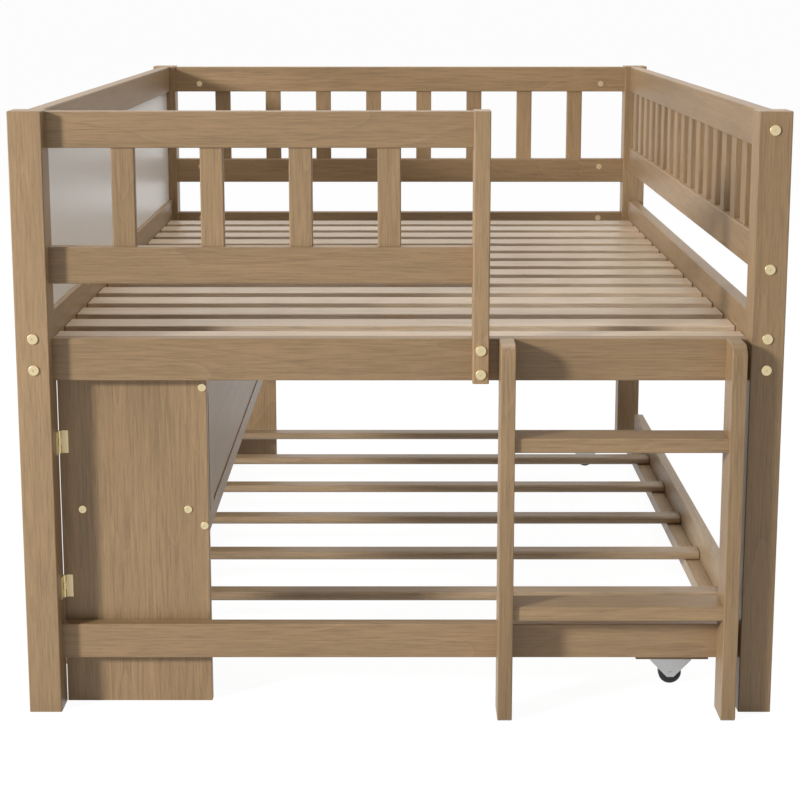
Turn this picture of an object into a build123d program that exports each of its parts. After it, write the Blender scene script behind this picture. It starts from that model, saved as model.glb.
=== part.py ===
import os

from build123d import *

os.makedirs("parts", exist_ok=True)

# Low loft bed. X is across the bed, Y runs from the ladder end to the far end, Z is up from the floor.
# Depths below (names with _y) are counted from the front faces of the front posts; CY moves them so that the
# origin lies at the middle of the whole bed.

# Overall frame
WIDTH = 1448.0
LENGTH = 2030.0
HEIGHT = 1170.0
POST = 63.0
STOCK = 28.0  # thickness of every rail
FRONT_SETBACK = 28.0  # front rails behind the front faces of the posts
SIDE_SETBACK = 19.0  # side rails inside the outer faces of the posts
EASE = 2.5  # rounding of long edges

# Rail heights (bottom, top)
END_RAIL_Z = (657.0, 739.0)
SIDE_RAIL_Z = (656.0, 776.0)
TOP_RAIL_DROP = 2.0  # top rails below the tops of the posts
FRONT_TOP_H = 68.0
SIDE_TOP_H = 72.0
FRONT_GUARD_Z = (844.0, 914.0)
RIGHT_MID_Z = (862.0, 931.0)
REAR_MID_Z = (829.0, 898.0)
LOWER_RAIL_Z = (101.0, 170.0)

# Balusters
BALUSTER_W = 44.0
BALUSTER_T = 18.0
TENON = 10.0
FRONT_BALUSTERS = 4
FRONT_BALUSTER_END = (121.0, 135.0)  # open space beside the first and the last
REAR_BALUSTERS = 8
REAR_BALUSTER_END = (116.3, 124.3)
RIGHT_BALUSTERS = 17
RIGHT_BALUSTER_END = 48.4

# Guard post beside the ladder opening
GUARD_POST_W = 31.0
GUARD_TO_LADDER = 20.0
GUARD_POST_PROUD = 30.0  # how far its lap stands in front of the end rail

# Mattress support
SLATS = 14
SLAT_W = 78.0
SLAT_T = 12.0
SLAT_TOP_Z = 723.0
SLAT_FRONT_GAP = 46.0  # from the posts to the first slat
SLAT_REAR_GAP = 64.0
SLAT_END_GAP = 2.0
LEDGER = 28.0
LEDGER_END = 66.0  # ledger stops this far from each post
BEAM_H = 44.0
CLEAT_W = 68.0
CLEAT_T = 20.0

# Side board
BOARD_T = 9.0
BOARD_GROOVE = 6.0
STUD_FROM_POST = 463.0

# Ladder
LADDER_W = 459.0
LADDER_TO_POST = 14.0
STRINGER_FRONT_Y = -45.0
STRINGER_TOP_R = 24.0
TREAD_Y = (-36.0, 34.0)
TREAD_TOPS = (227.5, 559.0)

# Bookcase
CASE_DEPTH = 287.0
CASE_TO_POST = 1.5
CASE_TO_FRONT_RAIL = 2.0
CASE_TO_REAR_RAIL = 46.0
CASE_UNDER_RAIL = 4.0
CASE_PANEL_T = 20.0
CASE_SHELF_Z = (384.0, 404.0)
CASE_RAIL_T = 18.5
CASE_LOW_RAIL_Z = 346.0
CASE_TOP_RAIL_H = 30.0
CASE_BATTEN = (20.0, 28.0)
CASE_STILE_W = 61.0
CASE_STILE_GAP = 10.0
CASE_BACK_T = 6.0
CASE_BACK_INSET = 2.5
CASE_BACK_GROOVE = 5.0
CASE_BACK_SEAM = 1081.0  # from the front of the bookcase to the joint of its back panels
CASE_DIVIDERS = 2
CASE_SCREWS = (4, 3)  # along the foot of each back panel
CASE_SCREW_END = 156.0
CASE_SCREW_SEAM = 50.0

# Hinges
HINGE_Z = (239.0, 530.0)
HINGE_H = 45.0
LEAF_T = 1.5
LEAF_W = 19.5  # from the post to the far edge of the leaf on the bookcase
KNUCKLE_R = 3.0
PIN_R = 1.5
PIN_CLEAR = 0.05
KNUCKLE_GAP = 0.3
KNUCKLE_OFF = 0.5  # between the knuckles and the bookcase

# Trundle
TRUNDLE_TO_FRONT = 57.0  # from the front posts
TRUNDLE_TO_REAR = 103.0
TRUNDLE_SIDE_T = 25.0
TRUNDLE_SIDE_Z = (52.0, 146.0)
TRUNDLE_SLATS = 7
TRUNDLE_SLAT_W = 50.0
TRUNDLE_SLAT_T = 20.0
TRUNDLE_SLAT_TOP = 102.0
TRUNDLE_SLAT_INSET = 4.0
TRUNDLE_SLAT_EASE = 9.0
TRUNDLE_LEDGER_W = 34.0
TRUNDLE_END_GAP = 2.0

# Casters
CASTER_IN = 175.0  # from the trundle's side
CASTER_END = 35.0  # from the trundle's end
WHEEL_R = 23.0
WHEEL_W = 18.0
AXLE_R = 2.5
AXLE_CLEAR = 0.05
BLOCK_L = 146.0
BLOCK_W = 66.0
BLOCK_T = 22.0
BRACKET_L = 85.0
BRACKET_T = 2.0
CHEEK_GAP = 26.0
CHEEK_SKIRT = 9.0
CHEEK_TAPER = 1.5
CHEEK_TIP_W = 14.0
CHEEK_BELOW = 7.0  # steel below the middle of the axle

# Fasteners
BOLT_D = 6.0
BOLT_HOLE = 7.0
HEAD_D = 20.0
HEAD_T = 3.0
NUT_D = 16.0
NUT_L = 21.0
END_NUT_IN = 71.0  # barrel nut from the post, end rails
SIDE_NUT_IN = 32.0  # barrel nut from the post, side rails
DOWEL_D = 8.0
DOWEL_L = 30.0

# Derived places
CY = ((LENGTH + HEAD_T) + STRINGER_FRONT_Y) / 2
OUT = WIDTH / 2
INNER = OUT - POST
SIDE_OUT = OUT - SIDE_SETBACK
SIDE_IN = SIDE_OUT - STOCK
SIDE_MID = (SIDE_OUT + SIDE_IN) / 2
FRONT_Y = (FRONT_SETBACK, FRONT_SETBACK + STOCK)
REAR_Y = (LENGTH - FRONT_SETBACK - STOCK, LENGTH - FRONT_SETBACK)
FRONT_MID = FRONT_SETBACK + STOCK / 2
REAR_MID = LENGTH - FRONT_MID
BAY_Y = (POST, LENGTH - POST)
SLAT_LOW_Z = SLAT_TOP_Z - SLAT_T
TOP_Z = HEIGHT - TOP_RAIL_DROP
FRONT_TOP_Z = (TOP_Z - FRONT_TOP_H, TOP_Z)
SIDE_TOP_Z = (TOP_Z - SIDE_TOP_H, TOP_Z)
LADDER_RIGHT = INNER - LADDER_TO_POST
STRINGER_X = (LADDER_RIGHT - LADDER_W, LADDER_RIGHT - STOCK)
GUARD_POST_RIGHT = STRINGER_X[0] - GUARD_TO_LADDER
GUARD_POST_X = (GUARD_POST_RIGHT - GUARD_POST_W, GUARD_POST_RIGHT)
CASE_X = (CASE_TO_POST - INNER, CASE_TO_POST - INNER + CASE_DEPTH)
CASE_FRONT_Y = FRONT_Y[1] + CASE_TO_FRONT_RAIL
CASE_REAR_Y = REAR_Y[0] - CASE_TO_REAR_RAIL
CASE_H = SIDE_RAIL_Z[0] - CASE_UNDER_RAIL
TRUNDLE_Y = (BAY_Y[0] + TRUNDLE_TO_FRONT, BAY_Y[1] - TRUNDLE_TO_REAR)
CASTER_X = OUT - CASTER_IN
CASTER_Y = TRUNDLE_Y[0] + CASTER_END

MIN3 = (Align.MIN, Align.MIN, Align.MIN)
RISE = (Align.CENTER, Align.CENTER, Align.MIN)


def block(x, y, z):
    """A plain block between two limits on each axis."""
    return Pos(x[0], y[0] - CY, z[0]) * Box(x[1] - x[0], y[1] - y[0], z[1] - z[0], align=MIN3)


def stick(x, y, z, ease=EASE):
    """A block with the edges along its length rounded."""
    body = block(x, y, z)
    spans = {Axis.X: x[1] - x[0], Axis.Y: y[1] - y[0], Axis.Z: z[1] - z[0]}
    along = max(spans, key=spans.get)
    return fillet(body.edges().filter_by(along), ease)


def evenly(first, last, count):
    """Places spread evenly from the first to the last."""
    return [first + (last - first) * i / (count - 1) for i in range(count)]


def placed(shape, at, facing):
    """A shape drawn up its own Z, set at a point with that Z along a direction."""
    return Plane(origin=(at[0], at[1] - CY, at[2]), z_dir=facing).location * shape


def rod(at, facing, diameter, length):
    return placed(Cylinder(diameter / 2, length, align=RISE), at, facing)


def bolt(at, facing, length, head_d=HEAD_D, head_t=HEAD_T, shank_d=BOLT_D):
    """A bolt with a flat round head on a face, its shank going in along facing."""
    head = Pos(0, 0, -head_t) * Cylinder(head_d / 2, head_t, align=RISE)
    head = fillet(head.edges().sort_by(Axis.Z)[0:1], head_t / 3)
    socket = Pos(0, 0, -head_t) * extrude(RegularPolygon(shank_d * 0.42, 6), head_t * 0.6)
    return placed(head - socket + Cylinder(shank_d / 2, length, align=RISE), at, facing)


def screw(at, facing, length, head_d, shank_d):
    """A countersunk screw whose head is level with the face."""
    head_h = (head_d - shank_d) / 2
    head = Cone(head_d / 2, shank_d / 2, head_h, align=RISE)
    body = head + Pos(0, 0, head_h) * Cylinder(shank_d / 2, length - head_h, align=RISE)
    cross = Box(head_d * 0.5, head_d * 0.12, head_h, align=RISE)
    return placed(body - cross, at, facing), placed(body, at, facing)


made = {}
cuts = {}


def add(name, *solids):
    made.setdefault(name, []).extend(solids)


def cut(name, *tools):
    cuts.setdefault(name, []).extend(tools)


def barrel_bolt(post, rail, nuts, bolts, post_face, facing, nut_in, nut_face, nut_facing):
    """A bolt through a post into a barrel nut let into the inner face of a rail."""
    length = POST + nut_in + NUT_D / 2
    add(bolts, bolt(post_face, facing, length))
    nut = rod(nut_face, nut_facing, NUT_D, NUT_L)
    slot = placed(Box(NUT_D * 0.7, 1.6, 1.2, align=RISE), nut_face, nut_facing)
    add(nuts, nut - rod(post_face, facing, BOLT_D, length) - slot)
    cut(post, rod(post_face, facing, BOLT_HOLE, POST))
    cut(rail, nut, rod(post_face, facing, BOLT_HOLE, length))


def end_bolt(side, end, z, rail):
    """Bolt along X joining a rail between the two posts of one end."""
    y = FRONT_MID if end == "front" else REAR_MID
    face_y = FRONT_Y[1] if end == "front" else REAR_Y[0]
    turn = -1 if end == "front" else 1
    barrel_bolt(
        f"post_{end}_{'left' if side < 0 else 'right'}", rail, "frame_barrel_nuts", "frame_bolts",
        (side * OUT, y, z), (-side, 0, 0), END_NUT_IN,
        (side * (INNER - END_NUT_IN), face_y, z), (0, turn, 0),
    )


def side_bolt(side, end, z, rail):
    """Bolt along Y joining a side rail to a post."""
    front = end == "front"
    face = 0.0 if front else LENGTH
    nut_y = POST + SIDE_NUT_IN if front else LENGTH - POST - SIDE_NUT_IN
    barrel_bolt(
        f"post_{end}_{'left' if side < 0 else 'right'}", rail, "frame_barrel_nuts", "frame_bolts",
        (side * SIDE_MID, face, z), (0, 1 if front else -1, 0), SIDE_NUT_IN,
        (side * SIDE_IN, nut_y, z), (side, 0, 0),
    )


def end_dowel(side, end, z, rail):
    y = FRONT_MID if end == "front" else REAR_MID
    pin = rod((side * (INNER + DOWEL_L / 2), y, z), (-side, 0, 0), DOWEL_D, DOWEL_L)
    add("dowels", pin)
    cut(f"post_{end}_{'left' if side < 0 else 'right'}", pin)
    cut(rail, pin)


def side_dowel(side, end, z, rail):
    front = end == "front"
    start = POST - DOWEL_L / 2 if front else LENGTH - POST + DOWEL_L / 2
    pin = rod((side * SIDE_MID, start, z), (0, 1 if front else -1, 0), DOWEL_D, DOWEL_L)
    add("dowels", pin)
    cut(f"post_{end}_{'left' if side < 0 else 'right'}", pin)
    cut(rail, pin)


# Posts
for end, y in (("front", (0.0, POST)), ("rear", (LENGTH - POST, LENGTH))):
    for side, x in (("left", (-OUT, -INNER)), ("right", (INNER, OUT))):
        post = stick(x, y, (0.0, HEIGHT))
        post = chamfer(post.faces().sort_by(Axis.Z)[-1].edges(), 1.2)
        add(f"post_{end}_{side}", post)

# End rails, lower rail and the rails of the front and rear guards
GUARD_LEFT = GUARD_POST_X[0]
ACROSS = (-INNER, INNER)
add("end_rail_front", stick(ACROSS, FRONT_Y, END_RAIL_Z))
add("end_rail_rear", stick(ACROSS, REAR_Y, END_RAIL_Z))
add("lower_rail_front", stick(ACROSS, FRONT_Y, LOWER_RAIL_Z))
add("guard_front_top_rail", stick((-INNER, GUARD_LEFT), FRONT_Y, FRONT_TOP_Z))
add("guard_front_mid_rail", stick((-INNER, GUARD_LEFT), FRONT_Y, FRONT_GUARD_Z))
add("guard_rear_top_rail", stick(ACROSS, REAR_Y, SIDE_TOP_Z))
add("guard_rear_mid_rail", stick(ACROSS, REAR_Y, REAR_MID_Z))

# Side rails and the rails above them
LEFT_X = (-SIDE_OUT, -SIDE_IN)
RIGHT_X = (SIDE_IN, SIDE_OUT)
add("side_rail_left", stick(LEFT_X, BAY_Y, SIDE_RAIL_Z))
add("side_rail_right", stick(RIGHT_X, BAY_Y, SIDE_RAIL_Z))
add("top_rail_left", stick(LEFT_X, BAY_Y, SIDE_TOP_Z))
add("guard_right_top_rail", stick(RIGHT_X, BAY_Y, SIDE_TOP_Z))
add("guard_right_mid_rail", stick(RIGHT_X, BAY_Y, RIGHT_MID_Z))

# Balusters, with tenons let into the rails above and below
front_t = (FRONT_MID - BALUSTER_T / 2, FRONT_MID + BALUSTER_T / 2)
rear_t = (REAR_MID - BALUSTER_T / 2, REAR_MID + BALUSTER_T / 2)
right_t = (SIDE_MID - BALUSTER_T / 2, SIDE_MID + BALUSTER_T / 2)
for x0 in evenly(FRONT_BALUSTER_END[0] - INNER, GUARD_LEFT - FRONT_BALUSTER_END[1] - BALUSTER_W, FRONT_BALUSTERS):
    add("guard_front_balusters",
        stick((x0, x0 + BALUSTER_W), front_t, (FRONT_GUARD_Z[1] - TENON, FRONT_TOP_Z[0] + TENON)))
for x0 in evenly(REAR_BALUSTER_END[0] - INNER, INNER - REAR_BALUSTER_END[1] - BALUSTER_W, REAR_BALUSTERS):
    add("guard_rear_balusters",
        stick((x0, x0 + BALUSTER_W), rear_t, (REAR_MID_Z[1] - TENON, SIDE_TOP_Z[0] + TENON)))
for y0 in evenly(BAY_Y[0] + RIGHT_BALUSTER_END, BAY_Y[1] - RIGHT_BALUSTER_END - BALUSTER_W, RIGHT_BALUSTERS):
    add("guard_right_balusters",
        stick(right_t, (y0, y0 + BALUSTER_W), (RIGHT_MID_Z[1] - TENON, SIDE_TOP_Z[0] + TENON)))
for group, rails in (
    ("guard_front_balusters", ("guard_front_top_rail", "guard_front_mid_rail")),
    ("guard_rear_balusters", ("guard_rear_top_rail", "guard_rear_mid_rail")),
    ("guard_right_balusters", ("guard_right_top_rail", "guard_right_mid_rail")),
):
    for rail in rails:
        cut(rail, *made[group])

# Guard post: full depth above the end rail, lapped over the rail's face below
lap_y = (FRONT_SETBACK - GUARD_POST_PROUD, FRONT_SETBACK)
guard_post = stick(GUARD_POST_X, (lap_y[0], FRONT_Y[1]), (END_RAIL_Z[0], HEIGHT))
guard_post -= block(GUARD_POST_X, FRONT_Y, END_RAIL_Z)
add("guard_front_end_post", guard_post)
guard_mid_x = sum(GUARD_POST_X) / 2
for z in (END_RAIL_Z[0] + 18.0, END_RAIL_Z[1] - 18.0):
    hole = rod((guard_mid_x, lap_y[0], z), (0, 1, 0), BOLT_HOLE, FRONT_Y[1] - lap_y[0])
    cut("guard_front_end_post", hole)
    cut("end_rail_front", hole)
    add("frame_bolts", bolt((guard_mid_x, lap_y[0], z), (0, 1, 0), FRONT_Y[1] - lap_y[0] + HEAD_T))
    cap = rod((guard_mid_x, FRONT_Y[1], z), (0, 1, 0), 14.0, HEAD_T)
    add("frame_barrel_nuts", cap - rod((guard_mid_x, lap_y[0], z), (0, 1, 0), BOLT_D, STOCK * 3))
for rail, z in (("guard_front_top_rail", FRONT_TOP_Z), ("guard_front_mid_rail", FRONT_GUARD_Z)):
    for dz in (-16.0, 16.0):
        pin = rod((GUARD_LEFT - DOWEL_L / 2, FRONT_MID, sum(z) / 2 + dz), (1, 0, 0), DOWEL_D, DOWEL_L)
        add("dowels", pin)
        cut(rail, pin)
        cut("guard_front_end_post", pin)

# Bolts and dowels of the frame, at heights above the foot of each rail
for side in (-1, 1):
    hand = "left" if side < 0 else "right"
    for end in ("front", "rear"):
        for up in (13.0, 65.0):
            end_bolt(side, end, END_RAIL_Z[0] + up, f"end_rail_{end}")
        end_dowel(side, end, END_RAIL_Z[0] + 39.0, f"end_rail_{end}")
        for up in (27.0, 87.0):
            side_bolt(side, end, SIDE_RAIL_Z[0] + up, f"side_rail_{hand}")
        side_dowel(side, end, SIDE_RAIL_Z[0] + 57.0, f"side_rail_{hand}")
    end_bolt(side, "front", LOWER_RAIL_Z[0] + 34.5, "lower_rail_front")
    end_dowel(side, "front", LOWER_RAIL_Z[0] + 55.0, "lower_rail_front")
    end_bolt(side, "rear", SIDE_TOP_Z[0] + 23.0, "guard_rear_top_rail")
    end_dowel(side, "rear", SIDE_TOP_Z[0] + 52.0, "guard_rear_top_rail")
    end_bolt(side, "rear", REAR_MID_Z[0] + 46.0, "guard_rear_mid_rail")
    end_dowel(side, "rear", REAR_MID_Z[0] + 19.0, "guard_rear_mid_rail")
end_bolt(-1, "front", FRONT_TOP_Z[0] + 34.0, "guard_front_top_rail")
end_dowel(-1, "front", FRONT_TOP_Z[0] + 56.0, "guard_front_top_rail")
end_bolt(-1, "front", FRONT_GUARD_Z[0] + 35.0, "guard_front_mid_rail")
end_dowel(-1, "front", FRONT_GUARD_Z[0] + 57.0, "guard_front_mid_rail")
side_bolt(1, "front", SIDE_TOP_Z[0] + 39.0, "guard_right_top_rail")
side_bolt(1, "rear", SIDE_TOP_Z[0] + 39.0, "guard_right_top_rail")
side_bolt(1, "front", RIGHT_MID_Z[0] + 13.5, "guard_right_mid_rail")
side_bolt(1, "rear", RIGHT_MID_Z[0] + 49.0, "guard_right_mid_rail")
for end in ("front", "rear"):
    side_dowel(1, end, SIDE_TOP_Z[0] + 60.0, "guard_right_top_rail")
    side_dowel(1, end, RIGHT_MID_Z[0] + 31.0, "guard_right_mid_rail")
    side_dowel(-1, end, SIDE_TOP_Z[0] + 20.0, "top_rail_left")
    side_dowel(-1, end, SIDE_TOP_Z[0] + 54.0, "top_rail_left")

# Side board, held in grooves in the rail below and the rail above
board = block((-SIDE_MID - BOARD_T / 2, -SIDE_MID + BOARD_T / 2), BAY_Y,
              (SIDE_RAIL_Z[1] - BOARD_GROOVE, SIDE_TOP_Z[0] + BOARD_GROOVE))
add("writing_board", board)
cut("side_rail_left", board)
cut("top_rail_left", board)
for y in (BAY_Y[0] + STUD_FROM_POST, LENGTH / 2):
    stud_z = SIDE_RAIL_Z[1] - 10.5
    stud_in = SIDE_MID - BOARD_T / 2 - SIDE_IN
    stud = rod((-SIDE_IN, y, stud_z), (-1, 0, 0), 13.0, 4.0)
    slot = placed(Box(9.0, 1.6, 1.2, align=RISE), (-SIDE_IN, y, stud_z), (-1, 0, 0))
    add("frame_barrel_nuts", stud - slot)
    cut("side_rail_left", stud)

# Ledgers, centre beam, cleats and slats
ledger_y = (BAY_Y[0] + LEDGER_END, BAY_Y[1] - LEDGER_END)
ledger_z = (SLAT_LOW_Z - LEDGER, SLAT_LOW_Z)
for hand, side in (("left", -1), ("right", 1)):
    x = sorted((side * SIDE_IN, side * (SIDE_IN - LEDGER)))
    add("slat_ledgers", stick(tuple(x), ledger_y, ledger_z, 1.5))
    for i in range(6):
        y = ledger_y[0] + 60.0 + i * (ledger_y[1] - ledger_y[0] - 120.0) / 5
        shown, whole = screw((side * (SIDE_IN - LEDGER), y, sum(ledger_z) / 2), (side, 0, 0), 45.0, 9.0, 4.5)
        add("frame_screws", shown)
        cut("slat_ledgers", whole)
        cut(f"side_rail_{hand}", whole)
beam_z = (SLAT_LOW_Z - BEAM_H, SLAT_LOW_Z)
beam = block((-STOCK / 2, STOCK / 2), (FRONT_Y[1], REAR_Y[0]), beam_z)
add("centre_beam", chamfer(beam.edges().filter_by(Axis.Y), 1.0))
for y0, facing in ((FRONT_Y[1], -1), (REAR_Y[0] - CLEAT_T, 1)):
    cleat = block((-CLEAT_W / 2, CLEAT_W / 2), (y0, y0 + CLEAT_T), (END_RAIL_Z[0], SLAT_LOW_Z))
    cleat -= block((-STOCK / 2, STOCK / 2), (y0, y0 + CLEAT_T), beam_z)
    start = y0 + CLEAT_T if facing < 0 else y0
    for x in (-24.0, 24.0):
        shown, whole = screw((x, start, END_RAIL_Z[0] + 31.0), (0, facing, 0), 40.0, 8.0, 4.0)
        add("frame_screws", shown)
        cleat -= whole
        cut("end_rail_front" if facing < 0 else "end_rail_rear", whole)
    add("beam_cleats", cleat)
slat_end = SIDE_IN - SLAT_END_GAP
for y0 in evenly(BAY_Y[0] + SLAT_FRONT_GAP, BAY_Y[1] - SLAT_REAR_GAP - SLAT_W, SLATS):
    slat = stick((-slat_end, slat_end), (y0, y0 + SLAT_W), (SLAT_LOW_Z, SLAT_TOP_Z), 2.5)
    for side in (-1, 1):
        if ledger_y[0] + 10 > y0 + SLAT_W / 2 or y0 + SLAT_W / 2 > ledger_y[1] - 10:
            continue
        shown, whole = screw((side * (SIDE_IN - LEDGER / 2), y0 + SLAT_W / 2, ledger_z[0]), (0, 0, 1),
                             LEDGER + SLAT_T - 3.0, 8.0, 4.0)
        add("frame_screws", shown)
        slat -= whole
        cut("slat_ledgers", whole)
    add("bed_slats", slat)

# Ladder
tread_x = (STRINGER_X[0] + STOCK, STRINGER_X[1])
for x0 in STRINGER_X:
    side = block((x0, x0 + STOCK), (STRINGER_FRONT_Y, FRONT_SETBACK), (0.0, END_RAIL_Z[1]))
    corner = side.edges().filter_by(Axis.X).sort_by(lambda e: e.center().Z - e.center().Y)[-1]
    side = fillet(corner, STRINGER_TOP_R)
    feet = side.edges().filter_by(Axis.X).group_by(Axis.Z)[0]
    side = chamfer(feet, 4.0)
    rims = side.faces().filter_by(Axis.X)
    side = chamfer(rims.edges(), 1.2)
    add("ladder_stringers", side)
    z = END_RAIL_Z[1] - 40.0
    x = x0 + STOCK / 2
    add("frame_bolts", bolt((x, FRONT_Y[1], z), (0, -1, 0), 68.0, 16.0, 2.5))
    hole = rod((x, FRONT_Y[1], z), (0, -1, 0), BOLT_D, 68.0)
    cut("ladder_stringers", hole)
    cut("end_rail_front", hole)
for top in TREAD_TOPS:
    add("ladder_treads", stick(tread_x, TREAD_Y, (top - STOCK, top), 3.0))
    for side, x in ((1, STRINGER_X[0]), (-1, STRINGER_X[1] + STOCK)):
        for y in (-20.0, 14.0):
            shown, whole = screw((x, y, top - STOCK / 2), (side, 0, 0), 70.0, 10.0, 5.0)
            add("frame_screws", shown)
            cut("ladder_stringers", whole)
            cut("ladder_treads", whole)

# Bookcase
case_y = (CASE_FRONT_Y + CASE_PANEL_T, CASE_REAR_Y - CASE_PANEL_T)
rail_x = (CASE_X[1] - CASE_RAIL_T, CASE_X[1])
shelf_x = (CASE_X[0], rail_x[0])
low_z = (CASE_LOW_RAIL_Z, CASE_SHELF_Z[0])
top_z = (CASE_H - CASE_TOP_RAIL_H, CASE_H)
add("case_front_panel", stick(CASE_X, (CASE_FRONT_Y, case_y[0]), (0.0, CASE_H), 1.5))
add("case_rear_panel", stick(CASE_X, (case_y[1], CASE_REAR_Y), (0.0, CASE_H), 1.5))
add("case_shelf", block(shelf_x, case_y, CASE_SHELF_Z))
add("case_lower_rail", block(rail_x, case_y, low_z))
add("case_upper_rail", block(rail_x, case_y, top_z))
batten_x = (rail_x[0] - CASE_BATTEN[0], rail_x[0])
add("case_batten", block(batten_x, case_y, (CASE_SHELF_Z[0] - CASE_BATTEN[1], CASE_SHELF_Z[0])))
stile_ys = (
    (case_y[0] + CASE_STILE_GAP, case_y[0] + CASE_STILE_GAP + CASE_STILE_W),
    (case_y[1] - CASE_STILE_GAP - CASE_STILE_W, case_y[1] - CASE_STILE_GAP),
)
for y in stile_ys:
    add("case_stiles", block(rail_x, y, (low_z[1], top_z[0])))
back_x = (CASE_X[1] - CASE_BACK_INSET - CASE_BACK_T, CASE_X[1] - CASE_BACK_INSET)
back_z = (low_z[1] - CASE_BACK_GROOVE, top_z[0] + CASE_BACK_GROOVE)
seam_y = CASE_FRONT_Y + CASE_BACK_SEAM
for y in ((stile_ys[0][1] - CASE_BACK_GROOVE, seam_y), (seam_y, stile_ys[1][0] + CASE_BACK_GROOVE)):
    add("case_back_panels", block(back_x, y, back_z))
for name in ("case_lower_rail", "case_upper_rail", "case_stiles"):
    cut(name, *made["case_back_panels"])
for i in range(CASE_DIVIDERS):
    y = case_y[0] + (i + 1) * (case_y[1] - case_y[0]) / (CASE_DIVIDERS + 1)
    add("case_dividers", block(shelf_x, (y - CASE_PANEL_T / 2, y + CASE_PANEL_T / 2), (CASE_SHELF_Z[1], CASE_H)))
    for x in (shelf_x[0] + 50.0, shelf_x[1] - 50.0):
        shown, whole = screw((x, y, CASE_SHELF_Z[0]), (0, 0, 1), 50.0, 8.0, 4.0)
        add("case_screws", shown)
        cut("case_shelf", whole)
        cut("case_dividers", whole)
    shown, whole = screw((CASE_X[1], y, sum(top_z) / 2), (-1, 0, 0), 45.0, 8.0, 4.0)
    add("case_screws", shown)
    cut("case_upper_rail", whole)
    cut("case_dividers", whole)
shelf_mid = sum(CASE_SHELF_Z) / 2
for face, facing, panel in ((CASE_FRONT_Y, 1, "case_front_panel"), (CASE_REAR_Y, -1, "case_rear_panel")):
    for x, z, piece in ((CASE_X[0] + 41.0, shelf_mid, "case_shelf"), (CASE_X[1] - 40.0, shelf_mid, "case_shelf"),
                        (CASE_X[1] - 8.5, low_z[0] + 15.0, "case_lower_rail"),
                        (CASE_X[1] - 8.5, sum(top_z) / 2, "case_upper_rail")):
        add("case_bolts", bolt((x, face, z), (0, facing, 0), 60.0, 15.5, 2.0, 5.0))
        hole = rod((x, face, z), (0, facing, 0), 5.0, 60.0)
        cut(panel, hole)
        cut(piece, hole)
for y in (evenly(CASE_FRONT_Y + CASE_SCREW_END, seam_y - CASE_SCREW_SEAM, CASE_SCREWS[0])
          + evenly(seam_y + CASE_SCREW_SEAM, CASE_REAR_Y - CASE_SCREW_END, CASE_SCREWS[1])):
    shown, whole = screw((CASE_X[1], y, low_z[1] - 12.0), (-1, 0, 0), 34.0, 7.0, 3.5)
    add("case_screws", shown)
    cut("case_lower_rail", whole)
    cut("case_batten", whole)

# Hinges: the pin stands at the corner between the post's inner face and the bookcase's front panel
pin_x = -INNER + KNUCKLE_R
pin_y = CASE_FRONT_Y - KNUCKLE_R - KNUCKLE_OFF
third = HINGE_H / 3
for z in HINGE_Z:
    low = z - HINGE_H / 2
    bore_fixed = rod((pin_x, pin_y, low), (0, 0, 1), 2 * PIN_R, HINGE_H)
    bore_free = rod((pin_x, pin_y, low), (0, 0, 1), 2 * (PIN_R + PIN_CLEAR), HINGE_H)
    mid_z = (low + third, low + 2 * third)
    knuckles = rod((pin_x, pin_y, low), (0, 0, 1), 2 * KNUCKLE_R, HINGE_H)
    fixed = block((-INNER, -INNER + LEAF_T), (pin_y - LEAF_W + KNUCKLE_R, pin_y), (low, low + HINGE_H)) + knuckles
    fixed -= block((-INNER + LEAF_T, -INNER + 3 * KNUCKLE_R), (pin_y - 2 * KNUCKLE_R, CASE_FRONT_Y + 1),
                   (mid_z[0] - KNUCKLE_GAP, mid_z[1] + KNUCKLE_GAP))
    fixed -= block((-INNER, -INNER + LEAF_T), (pin_y - KNUCKLE_R - 0.6, CASE_FRONT_Y + 1),
                   (mid_z[0] - KNUCKLE_GAP, mid_z[1] + KNUCKLE_GAP))
    fixed -= bore_fixed
    leaf_x = (pin_x, -INNER + LEAF_W)
    moving = block(leaf_x, (CASE_FRONT_Y - LEAF_T, CASE_FRONT_Y), (low, low + HINGE_H)) + knuckles
    keep_out = block((-INNER, pin_x + KNUCKLE_R + 0.6), (pin_y - KNUCKLE_R, CASE_FRONT_Y), (low, mid_z[0]))
    moving -= keep_out
    moving -= Pos(0, 0, 2 * third) * keep_out
    moving -= bore_free
    add("hinge_leaves_fixed", fixed)
    add("hinge_leaves_moving", moving)
    add("hinge_pins", rod((pin_x, pin_y, low), (0, 0, 1), 2 * PIN_R, HINGE_H))
    for dz in (-14.0, 0.0, 14.0):
        shown, whole = screw((-INNER + LEAF_T, pin_y - 11.0, z + dz), (-1, 0, 0), 16.0, 5.0, 2.5)
        add("hinge_screws_post", shown)
        cut("hinge_leaves_fixed", whole)
        cut("post_front_left", whole)
        shown, whole = screw((-INNER + LEAF_W - 5.0, CASE_FRONT_Y - LEAF_T, z + dz), (0, 1, 0), 16.0, 5.0, 2.5)
        add("hinge_screws_case", shown)
        cut("hinge_leaves_moving", whole)
        cut("case_front_panel", whole)

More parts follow.
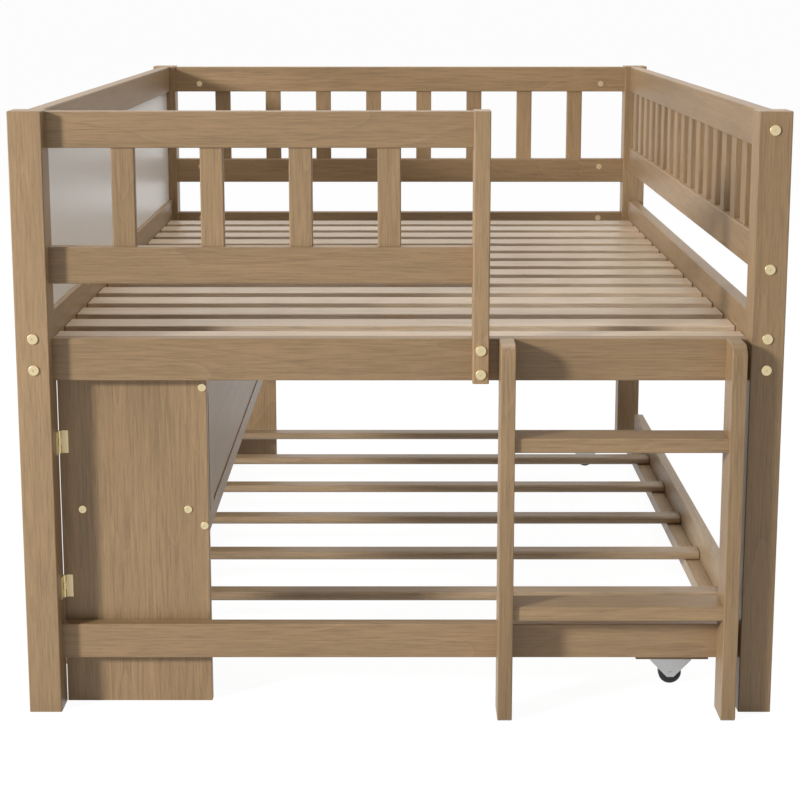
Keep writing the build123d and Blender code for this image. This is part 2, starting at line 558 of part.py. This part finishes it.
# Trundle
for hand, side in (("left", -1), ("right", 1)):
    x = tuple(sorted((side * OUT, side * (OUT - TRUNDLE_SIDE_T))))
    inner = OUT - TRUNDLE_SIDE_T
    add(f"trundle_side_{hand}", stick(x, TRUNDLE_Y, TRUNDLE_SIDE_Z, 3.0))
    x = tuple(sorted((side * inner, side * (inner - TRUNDLE_LEDGER_W))))
    add("trundle_ledgers",
        stick(x, TRUNDLE_Y, (TRUNDLE_SIDE_Z[0], TRUNDLE_SLAT_TOP - TRUNDLE_SLAT_T), 1.5))
    for i in range(5):
        y = TRUNDLE_Y[0] + 110.0 + i * (TRUNDLE_Y[1] - TRUNDLE_Y[0] - 220.0) / 4
        shown, whole = screw((side * (inner - TRUNDLE_LEDGER_W), y, TRUNDLE_SIDE_Z[0] + 15.0), (side, 0, 0), 50.0, 8.0, 4.0)
        add("trundle_screws", shown)
        cut("trundle_ledgers", whole)
        cut(f"trundle_side_{hand}", whole)
slat_half = OUT - TRUNDLE_SIDE_T - TRUNDLE_END_GAP
slat_z = (TRUNDLE_SLAT_TOP - TRUNDLE_SLAT_T, TRUNDLE_SLAT_TOP)
first_slat = TRUNDLE_Y[0] + TRUNDLE_SLAT_INSET
last_slat = TRUNDLE_Y[1] - TRUNDLE_SLAT_INSET
for y1 in evenly(first_slat + TRUNDLE_SLAT_W, last_slat, TRUNDLE_SLATS):
    slat = block((-slat_half, slat_half), (y1 - TRUNDLE_SLAT_W, y1), slat_z)
    slat = fillet(slat.edges().filter_by(Axis.X), TRUNDLE_SLAT_EASE)
    for side in (-1, 1):
        at = (side * (slat_half - 11.0), y1 - 0.5 * TRUNDLE_SLAT_W, TRUNDLE_SLAT_TOP)
        shown, whole = screw(at, (0, 0, -1), 40.0, 8.0, 4.0)
        add("trundle_screws", shown)
        slat -= whole
        cut("trundle_ledgers", whole)
    add("trundle_slats", slat)

# Casters: a wooden block under the slat, a folded steel bracket, an axle and a wheel
block_top = slat_z[0]
block_low = block_top - BLOCK_T
caster_ys = (CASTER_Y, TRUNDLE_Y[1] - CASTER_END)
tip_z = WHEEL_R - CHEEK_BELOW - block_low
skirt_x = BRACKET_L / 2 - CHEEK_TAPER
outline = [(-BRACKET_L / 2, -BRACKET_T), (-skirt_x, -CHEEK_SKIRT), (-CHEEK_TIP_W / 2, tip_z),
           (CHEEK_TIP_W / 2, tip_z), (skirt_x, -CHEEK_SKIRT), (BRACKET_L / 2, -BRACKET_T)]
wheel_no = 0
for y in caster_ys:
    toward = 1 if y < LENGTH / 2 else -1
    block_end = first_slat if toward > 0 else last_slat
    block_y = tuple(sorted((block_end, block_end + toward * BLOCK_W)))
    for side in (-1, 1):
        wheel_no += 1
        x = side * CASTER_X
        pad = block((x - BLOCK_L / 2, x + BLOCK_L / 2), block_y, (block_low, block_top))
        plate = block((x - BRACKET_L / 2, x + BRACKET_L / 2), (y - 24.0, y + 24.0), (block_low - BRACKET_T, block_low))
        bracket = plate
        for face in (y - CHEEK_GAP / 2 - BRACKET_T, y + CHEEK_GAP / 2):
            cheek = extrude(Plane.XZ.offset(-(face - CY)) * Pos(x, block_low) * Polygon(*outline, align=None),
                            -BRACKET_T)
            bracket += cheek
        axle_len = CHEEK_GAP + 2 * BRACKET_T
        axle_at = (x, y - axle_len / 2, WHEEL_R)
        bracket -= rod(axle_at, (0, 1, 0), 2 * AXLE_R, axle_len)
        head = rod((x, y - axle_len / 2 - 1.5, WHEEL_R), (0, 1, 0), 8.0, 1.5)
        tail = rod((x, y + axle_len / 2, WHEEL_R), (0, 1, 0), 8.0, 1.5)
        add("caster_axles", rod(axle_at, (0, 1, 0), 2 * AXLE_R, axle_len) + head + tail)
        wheel = rod((x, y - WHEEL_W / 2, WHEEL_R), (0, 1, 0), 2 * WHEEL_R, WHEEL_W)
        wheel = fillet(wheel.edges().filter_by(GeomType.CIRCLE), 2.5)
        for at, way in ((y - WHEEL_W / 2, 1), (y + WHEEL_W / 2, -1)):
            ring = rod((x, at, WHEEL_R), (0, way, 0), 34.0, 1.5) - rod((x, at, WHEEL_R), (0, way, 0), 16.0, 1.5)
            wheel -= ring
        wheel -= rod((x, y - WHEEL_W / 2, WHEEL_R), (0, 1, 0), 2 * (AXLE_R + AXLE_CLEAR), WHEEL_W)
        add(f"caster_wheel_{wheel_no}", wheel)
        for sx in (-34.0, 34.0):
            for sy in (-19.0, 19.0):
                shown, whole = screw((x + sx, y + sy, block_low - BRACKET_T), (0, 0, 1), 16.0, 6.0, 3.0)
                add("trundle_screws", shown)
                bracket -= whole
                pad -= whole
        slat_y = first_slat + TRUNDLE_SLAT_W / 2 if toward > 0 else last_slat - TRUNDLE_SLAT_W / 2
        for sx in (-60.0, 60.0):
            shown, whole = screw((x + sx, slat_y, block_low), (0, 0, 1), 36.0, 8.0, 4.0)
            add("trundle_screws", shown)
            pad -= whole
            cut("trundle_slats", whole)
        add("caster_blocks", pad)
        add("caster_brackets", bracket)

# Write every piece
for name, solids in made.items():
    finished = []
    tools = cuts.get(name, [])
    for solid in solids:
        box = solid.bounding_box()
        near = [t for t in tools if box.overlaps(t.bounding_box())] if tools else []
        shape = solid.cut(*near) if near else solid
        finished.extend(shape.solids())
    body = finished[0] if len(finished) == 1 else Compound(children=finished)
    export_step(body, f"parts/{name}.step")
print(len(made), "pieces written")
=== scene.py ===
import math

import bmesh
import bpy
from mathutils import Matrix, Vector


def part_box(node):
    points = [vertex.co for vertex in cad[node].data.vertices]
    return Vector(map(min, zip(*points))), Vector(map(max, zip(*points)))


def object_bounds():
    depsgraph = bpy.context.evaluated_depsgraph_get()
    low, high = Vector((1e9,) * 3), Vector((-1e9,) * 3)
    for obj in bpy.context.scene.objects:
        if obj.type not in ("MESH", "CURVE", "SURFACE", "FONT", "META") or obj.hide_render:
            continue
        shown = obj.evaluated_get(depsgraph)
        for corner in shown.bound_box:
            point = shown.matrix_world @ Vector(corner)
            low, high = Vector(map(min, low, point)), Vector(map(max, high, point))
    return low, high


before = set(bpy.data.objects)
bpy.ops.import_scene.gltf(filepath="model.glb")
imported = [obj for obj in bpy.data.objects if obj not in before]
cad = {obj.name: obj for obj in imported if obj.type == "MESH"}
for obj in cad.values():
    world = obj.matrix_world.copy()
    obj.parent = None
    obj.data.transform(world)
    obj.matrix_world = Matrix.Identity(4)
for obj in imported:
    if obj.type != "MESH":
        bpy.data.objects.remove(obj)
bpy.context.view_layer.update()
lowest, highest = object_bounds()

# Camera: it stands 3.26 m in front of the ladder end on the bed's middle line, above the
# guards at 1.39 m, and looks a little down. The lens is long and barely shifted.
FRONT_TO_CAMERA = 3.260
CAMERA_HEIGHT = 1.3875
CAMERA_TILT = 10.3
CAMERA_SHIFT = -0.11
CAMERA_LENS = 79.5
SENSOR_WIDTH = 36.0
post_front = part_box("post_front_left")[0].y
view_data = bpy.data.cameras.new("camera")
view_data.lens = CAMERA_LENS
view_data.sensor_width = SENSOR_WIDTH
view_data.shift_y = CAMERA_SHIFT
camera = bpy.data.objects.new("camera", view_data)
camera.location = (0.0, post_front - FRONT_TO_CAMERA, CAMERA_HEIGHT)
camera.rotation_euler = (math.radians(90.0 - CAMERA_TILT), 0.0, 0.0)
bpy.context.collection.objects.link(camera)
bpy.context.scene.camera = camera
bpy.context.scene.view_settings.view_transform = "Standard"

# Light: a broad lamp on the left in front of the bed, a softbox over it, and an even pale room.
# The room shows white to the camera and in reflections, and gives less light than it shows.
LAMP_AT = Vector((-6.2, -5.3, 3.1))
LAMP_POWER = 640.0
LAMP_WIDTH = 1.1
SOFTBOX_AT = Vector((0.3, 0.9, 4.6))
SOFTBOX_POWER = 125.0
SOFTBOX_WIDTH = 4.5
ROOM_LIGHT = 0.24
ROOM_SHOWN = 1.0


def soft_lamp(name, at, power, width, toward):
    """A round pale lamp that faces a point."""
    light = bpy.data.lights.new(name, "AREA")
    light.shape = "DISK"
    light.size = width
    light.energy = power
    lamp = bpy.data.objects.new(name, light)
    lamp.location = at
    lamp.rotation_euler = (at - toward).to_track_quat("Z", "Y").to_euler()
    bpy.context.collection.objects.link(lamp)


bed_middle = (lowest + highest) / 2
soft_lamp("front_lamp", LAMP_AT, LAMP_POWER, LAMP_WIDTH, bed_middle)
soft_lamp("softbox", SOFTBOX_AT, SOFTBOX_POWER, SOFTBOX_WIDTH, Vector((SOFTBOX_AT.x, SOFTBOX_AT.y, 0.0)))


def seen_directly(tree):
    """1 where a camera ray, a reflection or a refraction meets the surface, 0 for plain light."""
    path = tree.nodes.new("ShaderNodeLightPath")
    total = path.outputs["Is Camera Ray"]
    for kind in ("Is Glossy Ray", "Is Transmission Ray"):
        add = tree.nodes.new("ShaderNodeMath")
        add.operation = "ADD"
        add.use_clamp = True
        tree.links.new(total, add.inputs[0])
        tree.links.new(path.outputs[kind], add.inputs[1])
        total = add.outputs["Value"]
    return total


room = bpy.data.worlds.new("room")
room.use_nodes = True
bpy.context.scene.world = room
backdrop = room.node_tree.nodes["Background"]
level = room.node_tree.nodes.new("ShaderNodeMapRange")
level.inputs["To Min"].default_value = ROOM_LIGHT
level.inputs["To Max"].default_value = ROOM_SHOWN
room.node_tree.links.new(seen_directly(room.node_tree), level.inputs["Value"])
room.node_tree.links.new(level.outputs["Result"], backdrop.inputs["Strength"])
backdrop.inputs["Color"].default_value = (1.0, 1.0, 1.0, 1.0)

# Floor: a wide matt white sheet. It throws light back up under the bed, and to the camera it
# shows white with the bed's shadow faint on it.
FLOOR_REACH = 400.0
FLOOR_SHEEN = 0.955
FLOOR_BOUNCE = (0.75, 0.75, 0.74, 1.0)
FLOOR_SHOWN = (0.10, 0.10, 0.10, 1.0)
floor_mesh = bmesh.new()
bmesh.ops.create_grid(floor_mesh, x_segments=1, y_segments=1, size=FLOOR_REACH)
floor_data = bpy.data.meshes.new("floor")
floor_mesh.to_mesh(floor_data)
floor_mesh.free()
floor = bpy.data.objects.new("floor", floor_data)
bpy.context.collection.objects.link(floor)
sheet = bpy.data.materials.new("floor_sheet")
sheet.use_nodes = True
nodes, links = sheet.node_tree.nodes, sheet.node_tree.links
nodes.remove(nodes["Principled BSDF"])
bounce = nodes.new("ShaderNodeBsdfDiffuse")
bounce.inputs["Color"].default_value = FLOOR_BOUNCE
shown = nodes.new("ShaderNodeBsdfDiffuse")
shown.inputs["Color"].default_value = FLOOR_SHOWN
glow = nodes.new("ShaderNodeEmission")
glow.inputs["Strength"].default_value = FLOOR_SHEEN
both = nodes.new("ShaderNodeAddShader")
choose = nodes.new("ShaderNodeMixShader")
links.new(shown.outputs["BSDF"], both.inputs[0])
links.new(glow.outputs["Emission"], both.inputs[1])
links.new(seen_directly(sheet.node_tree), choose.inputs["Fac"])
links.new(bounce.outputs["BSDF"], choose.inputs[1])
links.new(both.outputs["Shader"], choose.inputs[2])
links.new(choose.outputs["Shader"], nodes["Material Output"].inputs["Surface"])
floor_data.materials.append(sheet)

# Corner posts: four square sticks of close-grained hardwood, planed, eased along the edges and
# stained a warm grey brown under satin lacquer. The fibres run up the post.
STAIN_LIGHT = (0.350, 0.232, 0.124)
STAIN_MID = (0.295, 0.187, 0.092)
STAIN_DARK = (0.225, 0.138, 0.064)
FIGURE_SHARE = 0.3
RINGS = 13.0
SPECK_SHARE = 0.8
GRAIN_RELIEF = 0.25
GRAIN_HEIGHT = 0.0004
LACQUER_IOR = 1.5


def stained_wood(name, grain, light, mid, dark, lacquer=0.42):
    """Stained board whose fibres run along one axis of the bed: 0 across, 1 along, 2 up."""
    finish = bpy.data.materials.new(name)
    finish.use_nodes = True
    tree = finish.node_tree
    nodes, links = tree.nodes, tree.links
    shader = nodes["Principled BSDF"]
    place = nodes.new("ShaderNodeTexCoord")

    def noise(across, along, detail, rough, bend=0.0):
        """A noise drawn out along the fibres, so many waves a metre each way."""
        stretch = nodes.new("ShaderNodeMapping")
        stretch.inputs["Scale"].default_value = [along if k == grain else across for k in range(3)]
        links.new(place.outputs["Object"], stretch.inputs["Vector"])
        field = nodes.new("ShaderNodeTexNoise")
        field.inputs["Scale"].default_value = 1.0
        field.inputs["Detail"].default_value = detail
        field.inputs["Roughness"].default_value = rough
        field.inputs["Distortion"].default_value = bend
        links.new(stretch.outputs["Vector"], field.inputs["Vector"])
        return field.outputs["Fac"]

    def step(kind, first, second):
        sum_node = nodes.new("ShaderNodeMath")
        sum_node.operation = kind
        for socket, value in zip(sum_node.inputs, (first, second)):
            if isinstance(value, float):
                socket.default_value = value
            else:
                links.new(value, socket)
        return sum_node.outputs["Value"]

    def ramp(value, *stops):
        band = nodes.new("ShaderNodeValToRGB")
        band.color_ramp.elements.remove(band.color_ramp.elements[1])
        for k, (at, colour) in enumerate(stops):
            stop = band.color_ramp.elements[0] if k == 0 else band.color_ramp.elements.new(at)
            stop.position = at
            stop.color = (*colour, 1.0) if isinstance(colour, tuple) else (colour, colour, colour, 1.0)
        links.new(value, band.inputs["Fac"])
        return band.outputs["Color"]

    def mix(kind, amount, first, second):
        blend = nodes.new("ShaderNodeMix")
        blend.data_type = "RGBA"
        blend.blend_type = kind
        if isinstance(amount, float):
            blend.inputs[0].default_value = amount
        else:
            links.new(amount, blend.inputs[0])
        links.new(first, blend.inputs[6])
        links.new(second, blend.inputs[7])
        return blend.outputs[2]

    swirl = noise(7.5, 0.75, 1.5, 0.45, 0.25)
    rings = step("FRACT", step("MULTIPLY", swirl, RINGS), 0.0)
    figure = ramp(rings, (0.0, light), (0.12, mid), (0.8, mid), (1.0, dark))
    cloud = noise(3.0, 0.9, 2.0, 0.5)
    tone = ramp(cloud, (0.3, 0.86), (0.5, 0.97), (0.7, 1.08))
    plain = ramp(cloud, (0.3, mid), (0.7, light))
    colour = mix("MIX", FIGURE_SHARE, plain, figure)
    colour = mix("MULTIPLY", 1.0, colour, tone)
    fibre = noise(320.0, 13.0, 3.0, 0.6)
    colour = mix("MULTIPLY", 1.0, colour, ramp(fibre, (0.3, 0.78), (0.5, 1.0), (0.7, 1.12)))
    streak = noise(60.0, 2.2, 3.0, 0.6)
    colour = mix("MULTIPLY", 1.0, colour, ramp(streak, (0.3, 0.91), (0.5, 1.0), (0.7, 1.06)))
    pores = noise(850.0, 45.0, 1.0, 0.5)
    specks = ramp(pores, (0.0, 0.74), (0.33, 0.86), (0.40, 1.0))
    colour = mix("MULTIPLY", SPECK_SHARE, colour, specks)
    links.new(colour, shader.inputs["Base Color"])
    rough = nodes.new("ShaderNodeMapRange")
    rough.inputs["To Min"].default_value = lacquer - 0.06
    rough.inputs["To Max"].default_value = lacquer + 0.08
    links.new(fibre, rough.inputs["Value"])
    links.new(rough.outputs["Result"], shader.inputs["Roughness"])
    relief = nodes.new("ShaderNodeBump")
    relief.inputs["Strength"].default_value = GRAIN_RELIEF
    relief.inputs["Distance"].default_value = GRAIN_HEIGHT
    links.new(step("ADD", fibre, step("MULTIPLY", pores, 0.5)), relief.inputs["Height"])
    links.new(relief.outputs["Normal"], shader.inputs["Normal"])
    shader.inputs["IOR"].default_value = LACQUER_IOR
    return finish


def dress(finish, *names):
    """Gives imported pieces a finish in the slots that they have."""
    for name in names:
        for place in cad[name].material_slots:
            place.material = finish


ACROSS, ALONG, UP = 0, 1, 2
stain_up = stained_wood("stain_up", UP, STAIN_LIGHT, STAIN_MID, STAIN_DARK)
dress(stain_up, "post_front_left", "post_front_right", "post_rear_left", "post_rear_right")

# Rails and guards: planed boards and balusters of the same wood, each with its fibres along
# its own length. Dowels and bolts hold them between the posts.
stain_across = stained_wood("stain_across", ACROSS, STAIN_LIGHT, STAIN_MID, STAIN_DARK)
stain_along = stained_wood("stain_along", ALONG, STAIN_LIGHT, STAIN_MID, STAIN_DARK)
dress(stain_across, "end_rail_front", "end_rail_rear", "lower_rail_front", "guard_front_top_rail",
      "guard_front_mid_rail", "guard_rear_top_rail", "guard_rear_mid_rail", "beam_cleats")
dress(stain_along, "side_rail_left", "side_rail_right", "top_rail_left", "guard_right_top_rail",
      "guard_right_mid_rail")
dress(stain_up, "guard_front_balusters", "guard_rear_balusters", "guard_right_balusters",
      "guard_front_end_post", "dowels")

# Slats and what carries them: thin sanded boards, stained more lightly than the frame, on two
# ledgers and a middle beam.
SLAT_LIGHT = (0.62, 0.485, 0.345)
SLAT_MID = (0.57, 0.435, 0.30)
SLAT_DARK = (0.49, 0.36, 0.235)
slat_across = stained_wood("slat_across", ACROSS, SLAT_LIGHT, SLAT_MID, SLAT_DARK, 0.33)
slat_along = stained_wood("slat_along", ALONG, SLAT_LIGHT, SLAT_MID, SLAT_DARK, 0.45)
dress(slat_across, "bed_slats")
dress(slat_along, "slat_ledgers", "centre_beam")

# Ladder: two upright stringers with rounded tops and two treads between them.
dress(stain_up, "ladder_stringers")
dress(stain_across, "ladder_treads")

# Bookcase: board panels with their figure upright at the ends, and lengthwise along the shelf,
# the rails and the back.
dress(stain_up, "case_front_panel", "case_rear_panel", "case_stiles", "case_dividers")
dress(stain_along, "case_shelf", "case_lower_rail", "case_upper_rail", "case_batten",
      "case_back_panels")

# Trundle: two long side boards, ledgers and round-edged slats of the same wood, stained a little
# more lightly than the bed. The blocks over the casters take the bed's stain.
TRUNDLE_LIGHT = (0.42, 0.30, 0.185)
TRUNDLE_MID = (0.37, 0.26, 0.152)
TRUNDLE_DARK = (0.29, 0.195, 0.105)
trundle_along = stained_wood("trundle_along", ALONG, TRUNDLE_LIGHT, TRUNDLE_MID, TRUNDLE_DARK)
trundle_across = stained_wood("trundle_across", ACROSS, TRUNDLE_LIGHT, TRUNDLE_MID, TRUNDLE_DARK, 0.38)
dress(trundle_along, "trundle_side_left", "trundle_side_right", "trundle_ledgers")
dress(trundle_across, "trundle_slats")
dress(stain_across, "caster_blocks")

# Side board: thin pale grey board with a smooth satin face, let into the rails.
BOARD_ROUGHNESS = 0.32
BOARD_IOR = 1.6
BOARD_GREY = (0.84, 0.83, 0.81, 1.0)
BOARD_PALE = (0.875, 0.865, 0.845, 1.0)
board_face = bpy.data.materials.new("board_face")
board_face.use_nodes = True
nodes, links = board_face.node_tree.nodes, board_face.node_tree.links
shader = nodes["Principled BSDF"]
shader.inputs["Roughness"].default_value = BOARD_ROUGHNESS
shader.inputs["IOR"].default_value = BOARD_IOR
place = nodes.new("ShaderNodeTexCoord")
mottle = nodes.new("ShaderNodeTexNoise")
mottle.inputs["Scale"].default_value = 6.0
mottle.inputs["Detail"].default_value = 4.0
links.new(place.outputs["Object"], mottle.inputs["Vector"])
paint = nodes.new("ShaderNodeValToRGB")
paint.color_ramp.elements[0].color = BOARD_GREY
paint.color_ramp.elements[1].color = BOARD_PALE
links.new(mottle.outputs["Fac"], paint.inputs["Fac"])
links.new(paint.outputs["Color"], shader.inputs["Base Color"])
dress(board_face, "writing_board")


# Metal fittings: pale brass bolts, barrel nuts and hinges, zinc screws, and pressed steel
# caster brackets. Fine turning marks show in their sheen.
def metal(name, colour, roughness, marks):
    finish = bpy.data.materials.new(name)
    finish.use_nodes = True
    nodes, links = finish.node_tree.nodes, finish.node_tree.links
    shader = nodes["Principled BSDF"]
    shader.inputs["Metallic"].default_value = 1.0
    place = nodes.new("ShaderNodeTexCoord")
    grit = nodes.new("ShaderNodeTexNoise")
    grit.inputs["Scale"].default_value = marks
    grit.inputs["Detail"].default_value = 3.0
    links.new(place.outputs["Object"], grit.inputs["Vector"])
    tint = nodes.new("ShaderNodeValToRGB")
    tint.color_ramp.elements[0].position = 0.3
    tint.color_ramp.elements[0].color = (*[0.86 * c for c in colour], 1.0)
    tint.color_ramp.elements[1].position = 0.7
    tint.color_ramp.elements[1].color = (*colour, 1.0)
    links.new(grit.outputs["Fac"], tint.inputs["Fac"])
    links.new(tint.outputs["Color"], shader.inputs["Base Color"])
    rough = nodes.new("ShaderNodeMapRange")
    rough.inputs["To Min"].default_value = roughness - 0.08
    rough.inputs["To Max"].default_value = roughness + 0.08
    links.new(grit.outputs["Fac"], rough.inputs["Value"])
    links.new(rough.outputs["Result"], shader.inputs["Roughness"])
    return finish


brass = metal("pale_brass", (0.72, 0.60, 0.36), 0.38, 900.0)
zinc = metal("zinc_plate", (0.50, 0.50, 0.50), 0.42, 700.0)
dress(brass, "frame_bolts", "frame_barrel_nuts", "case_bolts", "hinge_leaves_fixed",
      "hinge_leaves_moving", "hinge_pins", "hinge_screws_post", "hinge_screws_case")
dress(zinc, "frame_screws", "case_screws", "trundle_screws", "caster_brackets", "caster_axles")

# Caster wheels: moulded black wheels with a soft sheen.
tyre = bpy.data.materials.new("wheel_black")
tyre.use_nodes = True
nodes, links = tyre.node_tree.nodes, tyre.node_tree.links
shader = nodes["Principled BSDF"]
shader.inputs["Base Color"].default_value = (0.012, 0.012, 0.012, 1.0)
place = nodes.new("ShaderNodeTexCoord")
grain = nodes.new("ShaderNodeTexNoise")
grain.inputs["Scale"].default_value = 1500.0
links.new(place.outputs["Object"], grain.inputs["Vector"])
rough = nodes.new("ShaderNodeMapRange")
rough.inputs["To Min"].default_value = 0.32
rough.inputs["To Max"].default_value = 0.5
links.new(grain.outputs["Fac"], rough.inputs["Value"])
links.new(rough.outputs["Result"], shader.inputs["Roughness"])
dress(tyre, "caster_wheel_1", "caster_wheel_2", "caster_wheel_3", "caster_wheel_4")
